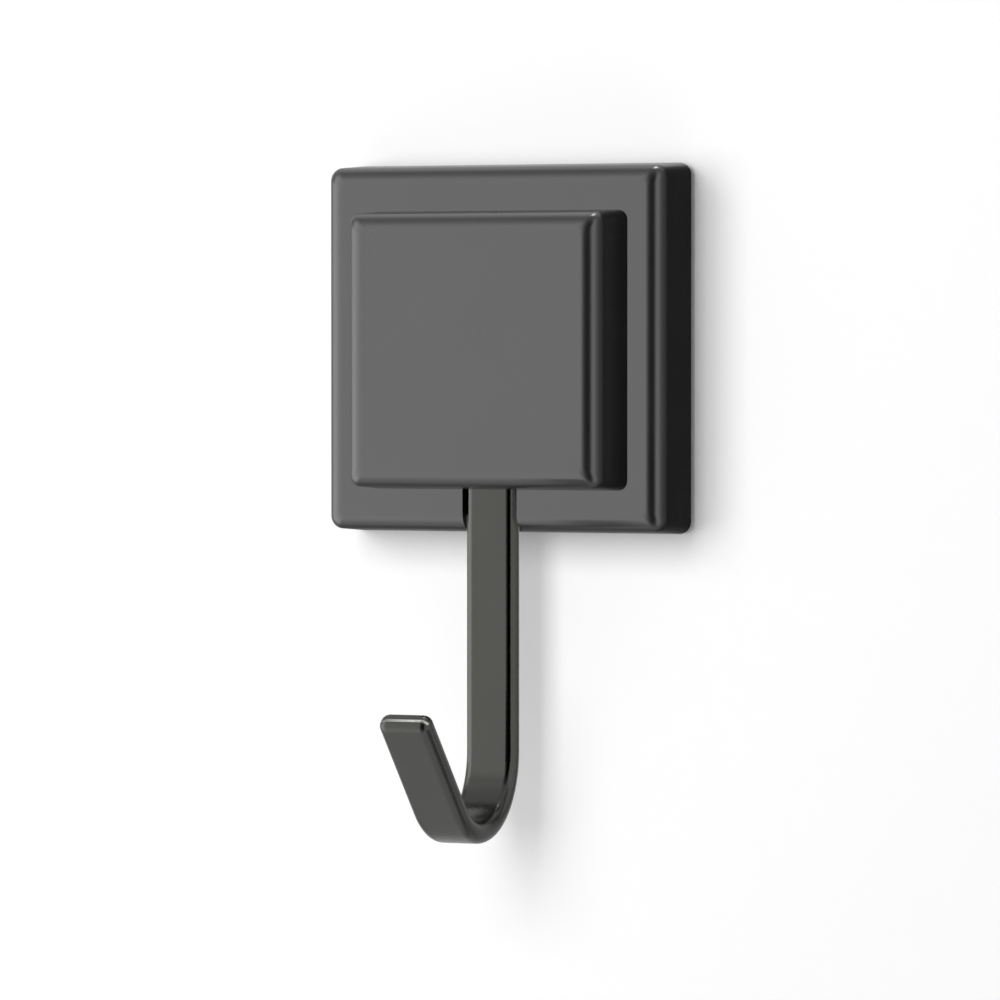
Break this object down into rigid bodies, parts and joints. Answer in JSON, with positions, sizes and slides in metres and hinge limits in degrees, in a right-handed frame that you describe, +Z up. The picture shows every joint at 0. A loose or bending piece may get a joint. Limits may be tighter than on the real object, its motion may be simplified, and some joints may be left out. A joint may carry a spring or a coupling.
{
  "type": "adhesive wall hook",
  "caption": "Stepped square wall plate on an adhesive foam pad, with a flat steel bar clamped behind its front block and bent forward below it into a J.",
  "frame": {"origin": "middle of the adhesive pad's wall face", "axes": "+Y into the wall, so the hook stands out towards -Y; +Z up; +X to the right as seen from the room"},
  "size_m": [0.06, 0.048, 0.1092],
  "materials": {
    "housing_plastic": "satin black, moulded",
    "cover_plastic": "plain black, moulded",
    "bar_steel": "dark grey satin coating",
    "screw_zinc": "zinc plated",
    "pad_foam": "grey closed-cell foam"
  },
  "bodies": {
    "root": {"adhesive_pad": "pad_foam", "back_plate": "cover_plastic", "back_screw_1": "screw_zinc", "back_screw_2": "screw_zinc", "back_screw_3": "screw_zinc", "back_screw_4": "screw_zinc", "plate_housing": "housing_plastic", "hook_bar": "bar_steel", "front_block": "housing_plastic", "clamp_screw_upper": "screw_zinc", "clamp_screw_lower": "screw_zinc", "clamp_washer_upper": "screw_zinc", "clamp_washer_lower": "screw_zinc"}
  },
  "joints": []
}
